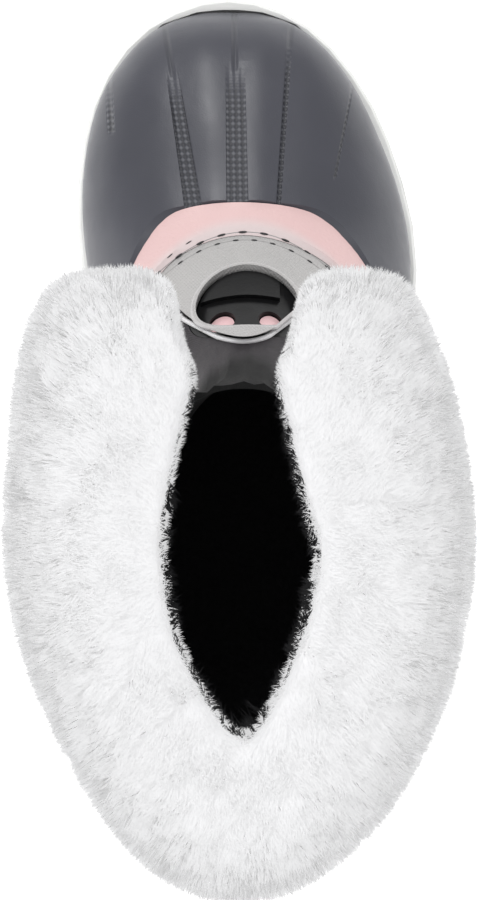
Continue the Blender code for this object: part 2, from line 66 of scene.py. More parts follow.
# The floor is a wide sheet of pale paper, lit by four softboxes: a strip before the toe, one at each side and
# one behind the heel. The paper gives off a little light of its own, so the ground stays even.
FLOOR_HALF = 12.0
FLOOR_WHITE = (0.98, 0.98, 0.98)
AMBIENT = 0.45


class Value:
    """A number that varies over a surface, with the arithmetic of plain numbers."""

    def __init__(self, finish, socket):
        self.finish = finish
        self.socket = socket

    def math(self, operation, *others):
        return self.finish.node("ShaderNodeMath", {"operation": operation}, [self, *others])

    def __add__(self, other):
        return self.math("ADD", other)

    def __sub__(self, other):
        return self.math("SUBTRACT", other)

    def __rsub__(self, other):
        return self.math("MULTIPLY_ADD", -1.0, other)

    def __mul__(self, other):
        return self.math("MULTIPLY", other)

    __radd__ = __add__
    __rmul__ = __mul__

    def clamp(self):
        return self.math("MAXIMUM", 0.0).math("MINIMUM", 1.0)

    def size(self):
        return self.math("ABSOLUTE")

    def step(self, low, high):
        """0 below low, 1 above high and smooth between."""
        found = {"Value": self, "From Min": low, "From Max": high}
        return self.finish.node("ShaderNodeMapRange", {"interpolation_type": "SMOOTHSTEP"}, found)


class Finish:
    """A material on a Principled shader, with one method that makes its nodes."""

    def __init__(self, name, colour, roughness, **constants):
        self.material = bpy.data.materials.new(name)
        self.material.use_nodes = True
        self.tree = self.material.node_tree
        self.shader = self.tree.nodes["Principled BSDF"]
        self.shader.inputs["Base Color"].default_value = (*colour, 1.0)
        self.shader.inputs["Roughness"].default_value = roughness
        for socket, value in constants.items():
            self.shader.inputs[socket.replace("_", " ")].default_value = value
        where = self.tree.nodes.new("ShaderNodeTexCoord")
        self.where = Value(self, where.outputs["Object"])

    def node(self, kind, settings=None, inputs=None, output=0):
        made = self.tree.nodes.new(kind)
        for name, value in (settings or {}).items():
            setattr(made, name, value)
        named = inputs.items() if isinstance(inputs, dict) else enumerate(inputs or [])
        for name, value in named:
            if isinstance(value, Value):
                self.tree.links.new(value.socket, made.inputs[name])
            else:
                made.inputs[name].default_value = value
        return Value(self, made.outputs[output])

    def axis(self, letter):
        """A coordinate of the surface in millimetres."""
        return self.node("ShaderNodeSeparateXYZ", None, [self.where], "XYZ".index(letter)) * 1000.0

    def along(self):
        """The distance from the heel end of the sole in millimetres."""
        return ORIGIN_U - self.axis("Y")

    def noise(self, size_mm, detail=2.0, stretch=(1.0, 1.0, 1.0)):
        scaled = self.node("ShaderNodeMapping", None, {"Vector": self.where, "Scale": stretch})
        found = {"Vector": scaled, "Scale": 1000.0 / size_mm, "Detail": detail}
        return self.node("ShaderNodeTexNoise", None, found)

    def mix(self, share, first, second):
        """A colour between two colours."""
        found = {"Factor": share, 6: self.shade(first), 7: self.shade(second)}
        return self.node("ShaderNodeMix", {"data_type": "RGBA"}, found, 2)

    def shade(self, colour):
        return colour if isinstance(colour, Value) else (*colour, 1.0)

    def feed(self, socket, value):
        self.tree.links.new(value.socket, self.shader.inputs[socket])

    def bump(self, height, distance_mm, strength=1.0):
        self.feed("Normal", self.node(
            "ShaderNodeBump", None, {"Height": height, "Distance": distance_mm * MM, "Strength": strength}
        ))


def dress(piece, finish):
    piece.data.materials.clear()
    piece.data.materials.append(finish.material)


studio_floor = Finish(
    "studio floor", FLOOR_WHITE, 0.9, Emission_Color=(1.0, 1.0, 1.0, 1.0), Emission_Strength=AMBIENT
)
studio_floor.feed("Roughness", studio_floor.noise(90.0) * 0.1 + 0.8)
sheet = bmesh.new()
bmesh.ops.create_grid(sheet, x_segments=8, y_segments=8, size=FLOOR_HALF)
floor = bpy.data.objects.new("floor", bpy.data.meshes.new("floor"))
sheet.to_mesh(floor.data)
sheet.free()
bpy.context.scene.collection.objects.link(floor)
dress(floor, studio_floor)

world = bpy.data.worlds.new("studio")
world.use_nodes = True
world.node_tree.nodes["Background"].inputs["Color"].default_value = (1.0, 1.0, 1.0, 1.0)
world.node_tree.nodes["Background"].inputs["Strength"].default_value = AMBIENT
bpy.context.scene.world = world


def softbox(name, at, aim, size, power):
    """A lamp of a size in metres and a power in watts, turned from its place towards its aim."""
    lamp = bpy.data.lights.new(name, "AREA")
    lamp.shape = "RECTANGLE"
    lamp.size, lamp.size_y = size
    lamp.energy = power
    holder = bpy.data.objects.new(name, lamp)
    holder.location = at
    holder.rotation_euler = (Vector(aim) - Vector(at)).to_track_quat("-Z", "Y").to_euler()
    bpy.context.scene.collection.objects.link(holder)


softbox("toe strip", (0.25, -1.25, 1.35), (0.0, -0.1, 0.05), (0.35, 0.9), 14.0)
softbox("left box", (1.3, 0.2, 1.5), (0.0, 0.0, 0.1), (1.0, 1.4), 9.5)
softbox("heel box", (0.1, 1.5, 1.5), (0.0, 0.05, 0.15), (1.2, 0.8), 14.0)
softbox("right box", (-1.3, 0.1, 1.5), (0.0, 0.0, 0.1), (1.0, 1.4), 7.5)


# The last is the wooden form that every piece of the upper is pulled over. Its rings stand upright at the toe
# and fan round the instep until they lie level at the collar.
ROWS_BETWEEN = 3
POINTS_ROUND = 96
ABOVE_COLLAR = 20.0
# A ring: its bottom u and z, top u and z, medial, lateral and middle x, the share of its height where it is
# widest, and how square it is below and above
FORM_ROWS = (
    (272.5, 35.0, 273.0, 42.0, 14.0, -8.0, 3.3, 0.50, 2.2, 2.2),
    (269.8, 31.0, 268.5, 50.0, 24.5, -18.0, 3.3, 0.48, 2.4, 2.2),
    (262.0, 27.5, 259.5, 57.5, 34.0, -27.5, 3.3, 0.42, 2.7, 2.2),
    (251.0, 25.0, 246.5, 63.0, 42.5, -36.5, 3.0, 0.38, 3.0, 2.1),
    (238.0, 23.3, 231.5, 67.0, 47.5, -43.5, 2.0, 0.35, 3.2, 2.0),
    (220.0, 22.0, 214.5, 70.5, 50.2, -50.5, 0.5, 0.33, 3.4, 1.95),
    (202.0, 22.0, 201.0, 76.5, 50.0, -54.5, -1.5, 0.32, 3.6, 1.85),
    (182.0, 22.3, 188.0, 87.5, 48.0, -56.0, -2.5, 0.30, 3.8, 1.80),
    (158.0, 23.0, 176.5, 99.0, 44.0, -53.0, -3.0, 0.28, 4.2, 1.80),
    (130.0, 24.5, 167.0, 112.0, 39.5, -48.0, -3.0, 0.27, 4.8, 1.80),
    (100.0, 26.0, 160.5, 125.0, 37.0, -43.0, -2.8, 0.27, 5.2, 1.85),
    (70.0, 27.0, 156.5, 137.5, 36.0, -39.0, -2.5, 0.29, 5.4, 1.90),
    (42.0, 27.5, 154.0, 149.5, 36.0, -38.0, -2.2, 0.32, 5.2, 2.00),
    (16.0, 28.5, 152.5, 159.5, 36.5, -38.5, -2.0, 0.36, 4.0, 2.10),
    (3.0, 38.0, 151.5, 167.5, 37.5, -39.5, -1.8, 0.41, 2.9, 2.20),
    (0.5, 64.0, 151.0, 174.0, 38.5, -40.5, -1.7, 0.45, 2.5, 2.20),
    (4.5, 100.0, 150.5, 179.0, 40.0, -42.0, -1.6, 0.48, 2.3, 2.20),
    (10.0, 138.0, 150.0, 183.0, 41.5, -43.5, -1.6, 0.50, 2.2, 2.20),
    (14.5, 171.0, 150.0, 187.0, 42.5, -44.5, -1.6, 0.50, 2.2, 2.20),
    (17.0, 200.0, 150.0, 191.0, 43.0, -45.0, -1.6, 0.50, 2.2, 2.20),
)


def smooth_rows(rows, between):
    """The rows with more between them, on a smooth curve through each column."""
    table = np.array(rows)
    slopes = np.gradient(table, axis=0)
    found = []
    for i in range(len(table) - 1):
        for s in np.arange(between) / between:
            found.append(
                table[i] * (1 + 2 * s) * (1 - s) ** 2 + slopes[i] * s * (1 - s) ** 2
                + table[i + 1] * s * s * (3 - 2 * s) - slopes[i + 1] * s * s * (1 - s)
            )
    return found + [table[-1]]


FINE_ROWS = smooth_rows(FORM_ROWS, ROWS_BETWEEN)


def ring_points(row):
    bottom_u, bottom_z, top_u, top_z, medial, lateral, middle, widest, low, high = row
    for i in range(POINTS_ROUND):
        angle = 2.0 * math.pi * i / POINTS_ROUND
        across, up = math.cos(angle), math.sin(angle)
        power = 2.0 / (high if up > 0.0 else low)
        across = math.copysign(abs(across) ** power, across)
        up = math.copysign(abs(up) ** power, up)
        share = widest + up * ((1.0 - widest) if up > 0.0 else widest)
        half = medial - middle if across > 0.0 else middle - lateral
        u = bottom_u + share * (top_u - bottom_u)
        yield place(middle + across * half, u, bottom_z + share * (top_z - bottom_z))


def last_form(offset, first=0, rise=0.0, relief=None):
    """The closed body of the last, moved out by an offset, and by a relief where it has one."""
    bm = bmesh.new()
    loops = []
    for row in FINE_ROWS[first * ROWS_BETWEEN:]:
        ring = bmesh.ops.create_circle(bm, segments=POINTS_ROUND, radius=1.0)["verts"]
        for vert, at in zip(ring, ring_points(row)):
            vert.co = at
        loops.append(ring)
    rims = [{edge for vert in ring for edge in vert.link_edges} for ring in loops]
    for near, far in zip(rims, rims[1:]):
        bmesh.ops.bridge_loops(bm, edges=list(near | far))
    bmesh.ops.contextual_create(bm, geom=list(rims[0]))
    bmesh.ops.recalc_face_normals(bm, faces=bm.faces)
    if bm.calc_volume(signed=True) < 0.0:
        bmesh.ops.reverse_faces(bm, faces=bm.faces)
    bm.normal_update()
    moves = [offset + (relief(*in_mm(vert.co)) if relief else 0.0) for vert in bm.verts]
    moved = [vert.co + vert.normal * move * MM for vert, move in zip(bm.verts, moves)]
    for vert, at in zip(bm.verts, moved):
        vert.co = at
    collar = list(rims[-1])
    if rise:
        raised = bmesh.ops.extrude_edge_only(bm, edges=collar)["geom"]
        lifted = [item for item in raised if isinstance(item, bmesh.types.BMVert)]
        bmesh.ops.translate(bm, verts=lifted, vec=(0.0, 0.0, rise * MM))
        collar = [item for item in raised if isinstance(item, bmesh.types.BMEdge)]
    bmesh.ops.contextual_create(bm, geom=collar)
    bmesh.ops.recalc_face_normals(bm, faces=bm.faces)
    return bm


def in_mm(at):
    """x, u and z of a point in millimetres."""
    return at.x / MM, ORIGIN_U - at.y / MM, at.z / MM


def swept(corners, direction):
    """The solid swept by a flat polygon along a direction."""
    bm = bmesh.new()
    face = bm.faces.new([bm.verts.new(p) for p in corners])
    moved = bmesh.ops.extrude_face_region(bm, geom=[face])["geom"]
    lifted = [item for item in moved if isinstance(item, bmesh.types.BMVert)]
    bmesh.ops.translate(bm, verts=lifted, vec=Vector(direction) * MM)
    bmesh.ops.recalc_face_normals(bm, faces=bm.faces)
    return bm


def piece_of(name, bm):
    if bm.calc_volume(signed=True) < 0.0:
        bmesh.ops.reverse_faces(bm, faces=bm.faces)
    piece = bpy.data.objects.new(name, bpy.data.meshes.new(name))
    bm.to_mesh(piece.data)
    bm.free()
    bpy.context.scene.collection.objects.link(piece)
    return piece


def trim(piece, operation, bm):
    """Cuts, joins or keeps what two solids share, and leaves the result in the piece's mesh."""
    tool = piece_of("tool", bm)
    modifier = piece.modifiers.new("trim", "BOOLEAN")
    modifier.operation = operation
    modifier.solver = "EXACT"
    modifier.object = tool
    graph = bpy.context.evaluated_depsgraph_get()
    mesh = bpy.data.meshes.new_from_object(piece.evaluated_get(graph))
    piece.modifiers.clear()
    piece.data = mesh
    bpy.data.objects.remove(tool)


def taken(piece):
    """The piece's mesh to shape further, while the piece itself goes."""
    bm = bmesh.new()
    bm.from_mesh(piece.data)
    bpy.data.objects.remove(piece)
    return bm


def soften(piece, angle=38.0):
    """Shades a piece smooth up to an angle, once its doubles are merged."""
    mesh = bmesh.new()
    mesh.from_mesh(piece.data)
    bmesh.ops.remove_doubles(mesh, verts=mesh.verts, dist=0.00002)
    mesh.to_mesh(piece.data)
    mesh.free()
    piece.data.shade_smooth()
    piece.data.set_sharp_from_angle(angle=math.radians(angle))


def round_edges(piece, radius, segments, angle):
    edges = piece.modifiers.new("moulded edges", "BEVEL")
    edges.width = radius * MM
    edges.segments = segments
    edges.angle_limit = math.radians(angle)


def seat(piece, slot, *nodes):
    """Puts a piece on the boot's one body, in the place of the solids that it stands for."""
    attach(piece, "root")
    if nodes:
        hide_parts(*nodes)


# The outsole is one moulding of off-white rubber with chunky lugs and a stepped side wall. The shell is
# pressed into its rim while the rubber is still warm.
sole_rubber = Finish("off-white sole rubber", (0.80, 0.805, 0.79), 0.58, Specular_IOR_Level=0.4)
grime = (1.0 - sole_rubber.axis("Z") * 0.09).clamp() * sole_rubber.noise(14.0, 4.0)
sole_rubber.feed("Base Color", sole_rubber.mix(grime * 0.9, (0.80, 0.805, 0.79), (0.42, 0.41, 0.38)))
sole_rubber.feed("Roughness", sole_rubber.noise(6.0, 3.0) * 0.25 + 0.45)
side_ribs = (sole_rubber.along() * 0.9).math("SINE") * sole_rubber.axis("Z").step(12.0, 13.0)
sole_rubber.bump(sole_rubber.noise(0.7, 3.0) * 0.25 + side_ribs * 0.1, 0.35)
tread = bmesh.new()
tread.from_mesh(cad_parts["outsole"].data)
bmesh.ops.remove_doubles(tread, verts=tread.verts, dist=0.00001)
bmesh.ops.dissolve_limit(tread, angle_limit=math.radians(2.0), verts=tread.verts, edges=tread.edges)
outsole = piece_of("moulded_outsole", tread)
round_edges(outsole, 0.6, 2, 35.0)
outsole.data.shade_smooth()
outsole.data.set_sharp_from_angle(angle=math.radians(60.0))
dress(outsole, sole_rubber)
seat(outsole, "outsole", "outsole")

# The footbed is a board of black felt, cut to the foot's outline. It drops in through the collar and lies
# loose on the sole.
felt = Finish("black felt", (0.012, 0.012, 0.013), 0.98)
felt.feed("Base Color", felt.mix(felt.noise(1.4, 5.0), (0.006, 0.006, 0.007), (0.022, 0.022, 0.024)))
felt.bump(felt.noise(0.8, 5.0), 0.6)
dress(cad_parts["insole"], felt)

# The upper is a bootee of light grey coated textile over felt, pulled over the last. It is cut out at the
# instep for the fastening plate, and open at the front of the shaft for the tongue and under the foot.
UPPER_WALL = 3.0
GAP = 0.3
SOLE_ROWS = (
    (-5.0, -0.7, -0.9), (5.0, 25.5, -27.5), (20.0, 35.5, -37.5), (40.0, 40.0, -42.0), (70.0, 40.5, -43.5),
    (100.0, 41.0, -47.0), (130.0, 43.5, -52.5), (160.0, 49.0, -59.0), (185.0, 54.0, -62.0),
    (205.0, 56.0, -60.5), (225.0, 55.0, -55.0), (245.0, 50.5, -46.5), (260.0, 42.5, -36.0),
    (270.0, 33.0, -26.0), (279.0, 15.5, -8.5),
)
OPENING_START = 14.0
OPENING_LENGTH = 251.0
OPENING_MARGIN = 12.0
OPENING_HEIGHTS = (5.0, 40.0)
THROAT_BACK = 125.0
THROAT_LOW = 76.0
THROAT_SIDE = 28.0
HEADROOM = 240.0
THROAT_EDGE = (
    (25.0, 178.0), (20.0, 172.8), (14.0, 167.8), (6.3, 163.8), (-3.0, 162.2),
    (-12.0, 165.6), (-20.7, 173.2), (-27.0, 180.0),
)
WINDOW_CENTRE = (-3.0, 175.8, 100.0)
WINDOW_HALF = (17.0, 16.0)
WINDOW_TILT = math.radians(44.0)
UP_SLOPE = Vector((0.0, math.cos(WINDOW_TILT), math.sin(WINDOW_TILT)))
OUT_OF_SLOPE = Vector((0.0, -math.sin(WINDOW_TILT), math.cos(WINDOW_TILT)))


def smooth_line(points, between=6):
    """A smooth line through points of a plane."""
    return [tuple(p) for p in smooth_rows(points, between)]


def bottom_opening(margin=OPENING_MARGIN):
    """The solid of the opening under the foot, a margin inside the sole's outline."""
    heel, toe = SOLE_ROWS[0][0], SOLE_ROWS[-1][0]
    low, high = OPENING_HEIGHTS
    rows = [(OPENING_START + OPENING_LENGTH * (u - heel) / (toe - heel), m, l) for u, m, l in SOLE_ROWS[1:-1]]
    medial = [(m - margin, u) for u, m, _ in rows]
    lateral = [(l + margin, u) for u, _, l in rows]
    loop = smooth_line(medial, 3) + smooth_line(lateral[::-1], 3)
    return swept([place(x, u, low) for x, u in loop], (0.0, 0.0, high - low))


def slope_place(x, down, out):
    """The point at x, down the slope of the instep from the cut-out's centre, and out from the slope."""
    return place(*WINDOW_CENTRE) + (Vector((x, 0.0, 0.0)) - UP_SLOPE * down + OUT_OF_SLOPE * out) * MM


def on_slope(outline, low=-16.0, high=20.0):
    """The solid over an outline drawn on the slope of the instep."""
    return swept([slope_place(x, down, low) for x, down in outline], OUT_OF_SLOPE * (high - low))


def oval(centre_x, centre_d, half_x, half_d, count=96):
    turns = [2.0 * math.pi * i / count for i in range(count)]
    return [(centre_x + half_x * math.cos(a), centre_d + half_d * math.sin(a)) for a in turns]


def window(margin, count=96):
    """The outline of the cut-out at the instep, grown by a margin."""
    return oval(0.0, 0.0, WINDOW_HALF[0] + margin, WINDOW_HALF[1] + margin, count)


def from_front(outline, first_u, last_u):
    """The solid over an outline of x and z, from one u to another."""
    return swept([place(x, first_u, z) for x, z in outline], (0.0, first_u - last_u, 0.0))


throat_line = smooth_line(THROAT_EDGE)
# A crease: its start and end (u, z), the side of the boot, its depth and its half width
CREASES = (
    ((158.0, 104.0), (118.0, 92.0), 1, 1.3, 4.0), ((150.0, 96.0), (104.0, 78.0), 1, 0.9, 3.5),
    ((160.0, 102.0), (112.0, 96.0), -1, 1.4, 4.5), ((146.0, 90.0), (98.0, 82.0), -1, 0.9, 3.5),
    ((60.0, 104.0), (22.0, 118.0), 1, 1.1, 5.0), ((66.0, 96.0), (20.0, 106.0), -1, 1.2, 5.0),
)


def crease_depth(x, u, z):
    """Soft troughs, with a low ridge beside each."""
    total = 0.0
    for (u0, z0), (u1, z1), side, depth, width in CREASES:
        clear_of_throat = min(max((x * side - THROAT_SIDE) / 8.0, 0.0), 1.0)
        run_u, run_z = u1 - u0, z1 - z0
        length = math.hypot(run_u, run_z)
        t = ((u - u0) * run_u + (z - z0) * run_z) / length ** 2
        off = ((u - u0) * run_z - (z - z0) * run_u) / length
        ends = math.exp(-((t - 0.5) / 0.42) ** 4)
        trough = -depth * math.exp(-(off / width) ** 2)
        ridge = 0.4 * depth * math.exp(-((off - 2.1 * width) / width) ** 2)
        total += clear_of_throat * ends * (trough + ridge)
    return total


upper = piece_of("bootee_upper", last_form(0.0, relief=crease_depth))
trim(upper, "DIFFERENCE", last_form(-UPPER_WALL, rise=ABOVE_COLLAR))
trim(upper, "DIFFERENCE", bottom_opening())
trim(upper, "DIFFERENCE", on_slope(window(0.0), low=-14.0))
throat_plan = throat_line + [(THROAT_EDGE[-1][0], THROAT_BACK), (THROAT_EDGE[0][0], THROAT_BACK)]
throat_base = [place(x, u, THROAT_LOW) for x, u in throat_plan]
trim(upper, "DIFFERENCE", swept(throat_base, (0.0, 0.0, HEADROOM - THROAT_LOW)))
soften(upper)
coated = Finish("light grey coated textile", (0.56, 0.55, 0.545), 0.62, Sheen_Weight=0.15)
tone = coated.mix(coated.noise(22.0, 3.0), (0.40, 0.39, 0.385), (0.50, 0.49, 0.485))
coated.feed("Base Color", tone)
coated.feed("Roughness", coated.noise(5.0) * 0.2 + 0.5)
weave = (coated.axis("X") * 5.2).math("SINE") * (coated.along() * 5.2).math("SINE")
coated.bump(weave * 0.25 + coated.noise(1.2, 4.0) * 0.6 + coated.noise(16.0, 2.0) * 2.0, 0.3)
dress(upper, coated)
seat(upper, "upper", "upper")


def surface(piece):
    """The piece's faces as a tree that rays are cast on."""
    graph = bpy.context.evaluated_depsgraph_get()
    return BVHTree.FromObject(piece, graph)


def tube(name, points, radius, closed=False):
    """A round cord laid along points."""
    line = bpy.data.curves.new(name, "CURVE")
    line.dimensions = "3D"
    line.bevel_depth = radius * MM
    line.bevel_resolution = 3
    line.use_fill_caps = True
    spline = line.splines.new("POLY")
    spline.points.add(len(points) - 1)
    for point, at in zip(spline.points, points):
        point.co = (*at, 1.0)
    spline.use_cyclic_u = closed
    holder = bpy.data.objects.new(name, line)
    bpy.context.scene.collection.objects.link(holder)
    graph = bpy.context.evaluated_depsgraph_get()
    piece = bpy.data.objects.new(name, bpy.data.meshes.new_from_object(holder.evaluated_get(graph)))
    bpy.context.scene.collection.objects.link(piece)
    bpy.data.objects.remove(holder)
    soften(piece, 60.0)
    return piece


# The rim of the cut-out is the same textile turned under and glued down over its felt, so that its edge is a
# soft roll that catches the light.
RIM_RADIUS = 0.75
RIM_SUNK = 0.7
RIM_START = 25.0
upper_surface = surface(upper)
rim_points = []
for x, down in window(1.0, 120):
    hit = upper_surface.ray_cast(slope_place(x, down, RIM_START), -OUT_OF_SLOPE)[0]
    if hit is not None:
        rim_points.append(hit - OUT_OF_SLOPE * RIM_SUNK * MM)
rim = tube("turned_rim", rim_points, RIM_RADIUS, closed=True)
rim_cloth = Finish("turned edge of the textile", (0.70, 0.69, 0.69), 0.42, Sheen_Weight=0.1)
rim_cloth.feed("Base Color", rim_cloth.mix(rim_cloth.noise(9.0), (0.46, 0.44, 0.44), (0.58, 0.57, 0.57)))
rim_cloth.bump(rim_cloth.noise(0.8, 3.0), 0.15)
dress(rim, rim_cloth)
seat(rim, "upper")

# The lining is black pile cloth, bonded inside the upper from the collar down to the sole. It stops at the
# sides of the tongue, which carries its own.
LINING_FACE = 0.1
LINING_BACK = 0.9
LINING_MARGIN = 11.0
LINING_OPENING = ((-36.0, 84.0), (32.0, 84.0), (32.0, HEADROOM), (-36.0, HEADROOM))
TONGUE_DEPTH = (120.0, 205.0)
TONGUE_OUTLINE = (
    (-33.0, 80.0), (29.0, 80.0), (27.0, 172.0), (14.0, 184.0), (-17.0, 184.0), (-30.0, 172.0),
)
lining = piece_of("pile_lining", last_form(-UPPER_WALL - LINING_FACE))
trim(lining, "DIFFERENCE", last_form(-UPPER_WALL - LINING_BACK, rise=ABOVE_COLLAR))
trim(lining, "DIFFERENCE", bottom_opening(LINING_MARGIN))
trim(lining, "DIFFERENCE", from_front(LINING_OPENING, *TONGUE_DEPTH))
soften(lining)
pile = Finish("black pile", (0.006, 0.006, 0.007), 1.0)
pile.feed("Base Color", pile.mix(pile.noise(2.0, 4.0), (0.002, 0.002, 0.002), (0.012, 0.012, 0.014)))
pile.bump(pile.noise(1.5, 4.0), 1.2)
dress(lining, pile)
seat(lining, "upper")

# The fastening plate is a glossy black moulding, held behind the cut-out by the upper's rim. It has a raised
# field that is left bare, and a stem between two notches.
PLATE_WALL = 2.0
FIELD_RISE = 1.6
FIELD_OUTLINE = ((-10.5, 3.2), (16.0, 3.2), (16.0, 16.0), (-10.5, 16.0))
LOBES = ((8.4, -7.6, 4.4, 5.0), (-7.4, -7.6, 3.9, 4.8))
plate_depth = UPPER_WALL + GAP
plate = piece_of("moulded_plate", last_form(-plate_depth, first=4))
trim(plate, "DIFFERENCE", last_form(-plate_depth - PLATE_WALL, first=3, rise=ABOVE_COLLAR))
trim(plate, "INTERSECT", on_slope(window(2.2)))
for lobe in LOBES:
    trim(plate, "DIFFERENCE", on_slope(oval(*lobe, 48)))
field = piece_of("raised_field", last_form(-plate_depth + FIELD_RISE, first=4))
trim(field, "DIFFERENCE", last_form(-plate_depth - 0.5 * PLATE_WALL, first=3, rise=ABOVE_COLLAR))
trim(field, "INTERSECT", on_slope(window(-1.2)))
trim(field, "INTERSECT", on_slope(FIELD_OUTLINE))
trim(plate, "UNION", taken(field))
soften(plate, 30.0)
round_edges(plate, 0.5, 3, 40.0)
gloss = Finish(
    "glossy black moulding", (0.006, 0.006, 0.0065), 0.3,
    Coat_Weight=0.05, Coat_Roughness=0.2, Specular_IOR_Level=0.18
)
gloss.feed("Roughness", gloss.noise(3.0, 3.0) * 0.16 + 0.24)
gloss.feed("Base Color", gloss.mix(gloss.noise(8.0, 3.0), (0.003, 0.003, 0.0035), (0.009, 0.009, 0.0095)))
gloss.bump(gloss.noise(0.9, 3.0), 0.05)
dress(plate, gloss)
seat(plate, "throat_plate", "throat_plate")

# The underlay is pale pink textile, padded a little and bonded to the back of the plate. It swells into the
# plate's two notches, where alone it shows.
UNDERLAY_FACE = 1.7
UNDERLAY_WALL = 1.4
underlay = piece_of("pink_underlay", last_form(-plate_depth - UNDERLAY_FACE, first=4))
underlay_back = -plate_depth - PLATE_WALL - GAP - UNDERLAY_WALL
trim(underlay, "DIFFERENCE", last_form(underlay_back, first=3, rise=ABOVE_COLLAR))
lobe_shape = bpy.data.meshes.new("lobe")
both_lobes = bmesh.new()
for x, d, half_x, half_d in LOBES:
    on_slope(oval(x, d, half_x - GAP, half_d - GAP, 48)).to_mesh(lobe_shape)
    both_lobes.from_mesh(lobe_shape)
trim(underlay, "INTERSECT", both_lobes)
soften(underlay, 50.0)
round_edges(underlay, 1.2, 3, 40.0)
pink = Finish("pale pink textile", (0.82, 0.60, 0.61), 0.6, Sheen_Weight=0.2)
pink.feed("Base Color", pink.mix(pink.noise(12.0, 3.0), (0.84, 0.52, 0.54), (0.90, 0.64, 0.65)))
pink.bump(pink.noise(1.0, 4.0), 0.25)
dress(underlay, pink)
seat(underlay, "throat_underlay", "throat_underlay")

# The tongue is black satin nylon over thin felt. It stands behind the tip of the instep panel, and slack
# in the cloth lies in soft upright folds.
TONGUE_FACE = 0.2
TONGUE_BACK = 2.3
FOLDS_START = 116.0
FOLDS_FADE = 14.0
FOLD_LEAN = 0.05
FOLD_MIDDLE = 150.0
# A fold: where it lies across, its half width and its depth
TONGUE_FOLDS = ((-14.0, 2.8, 1.7), (-6.5, 2.3, 1.2), (2.0, 2.6, 1.5), (9.5, 2.4, 1.8), (17.0, 2.8, 1.2))


def tongue_fold(x, u, z):
    """How far the folds draw the cloth in; they fade out towards the instep and lean a little."""
    fade = min(max((z - FOLDS_START) / FOLDS_FADE, 0.0), 1.0)
    upright_x = x - FOLD_LEAN * (z - FOLD_MIDDLE)
    depths = [depth * math.exp(-((upright_x - at) / width) ** 2) for at, width, depth in TONGUE_FOLDS]
    return -fade * sum(depths)


tongue = piece_of("satin_tongue", last_form(-plate_depth + TONGUE_FACE, first=5, relief=tongue_fold))
trim(tongue, "DIFFERENCE", last_form(-plate_depth - TONGUE_BACK, first=4, rise=ABOVE_COLLAR))
trim(tongue, "INTERSECT", from_front(TONGUE_OUTLINE, *TONGUE_DEPTH))
trim(tongue, "DIFFERENCE", on_slope(window(2.5)))
soften(tongue)
satin = Finish("black satin nylon", (0.030, 0.026, 0.030), 0.42, Sheen_Weight=0.03, Specular_IOR_Level=0.25)
# Painted shade: from 118 to 136 mm up, the satin's colour darkens to near black where the tongue lies deeper
# in shade, and it is rougher there.
shade = satin.axis("Z").step(118.0, 136.0)
satin.feed("Base Color", satin.mix(shade, (0.030, 0.026, 0.030), (0.002, 0.002, 0.002)))
satin.feed("Roughness", satin.noise(7.0, 3.0, (1.0, 1.0, 0.25)) * 0.3 + 0.24 + shade * 0.4)
ripstop = (satin.axis("X") * 9.0).math("SINE") * (satin.axis("Z") * 9.0).math("SINE")
satin.bump(ripstop * 0.15 + satin.noise(3.5, 3.0, (1.0, 1.0, 0.3)) * 1.4, 0.4)
dress(tongue, satin)
seat(tongue, "tongue", "tongue")

# White piping is a thin cord in a fold of cloth. It is sewn on the tongue just behind the rounded tip of the
# instep panel.
PIPING_RADIUS = 0.85
PIPING_BEHIND = 1.9
PIPING_LOWEST = 80.0


def beside(line, distance):
    """A line in a plane, moved to its left by a distance."""
    line = np.array(line)
    run = np.gradient(line, axis=0)
    run /= np.linalg.norm(run, axis=1, keepdims=True)
    return [tuple(p) for p in line + np.stack([-run[:, 1], run[:, 0]], axis=1) * distance]


tongue_surface = surface(tongue)
piping_points = []
for x, u in beside(throat_line[2:-2], PIPING_BEHIND):
    hit = tongue_surface.ray_cast(place(x, u, HEADROOM), (0.0, 0.0, -1.0))[0]
    if hit is not None and hit.z > PIPING_LOWEST * MM:
        piping_points.append(hit + Vector((0.0, -0.4, 0.5)) * MM)
piping = tube("white_piping", piping_points, PIPING_RADIUS)
cord_cloth = Finish("white piping cloth", (0.78, 0.77, 0.78), 0.5, Sheen_Weight=0.2)
worn = cord_cloth.noise(4.0, 3.0)
cord_cloth.feed("Base Color", cord_cloth.mix(worn, (0.70, 0.69, 0.70), (0.84, 0.83, 0.84)))
cord_cloth.bump(cord_cloth.noise(0.6, 3.0), 0.2)
dress(piping, cord_cloth)
seat(piping, "throat_piping", "throat_piping")

# A pink band of the same coated cloth is sewn round the upper where it goes down into the shell. Its
# colour fades into the grey at its upper edge.
TOPLINE = (
    (-30.0, 80.0), (0.0, 79.0), (25.0, 73.0), (60.0, 66.0), (100.0, 63.5), (140.0, 65.5),
    (170.0, 70.0), (190.0, 72.0), (202.0, 71.5), (207.5, 73.5), (210.5, 80.0), (212.0, 100.0),
)
BAND_FACE = 1.6
BAND_WIDTH = 8.0
ROW_MIDDLE = -2.4
ROW_BOW = 0.0162
top_line = smooth_line(TOPLINE)


def from_side(outline):
    """The solid over an outline of u and z, right across the boot."""
    return swept([place(-130.0, u, z) for u, z in outline], (260.0, 0.0, 0.0))


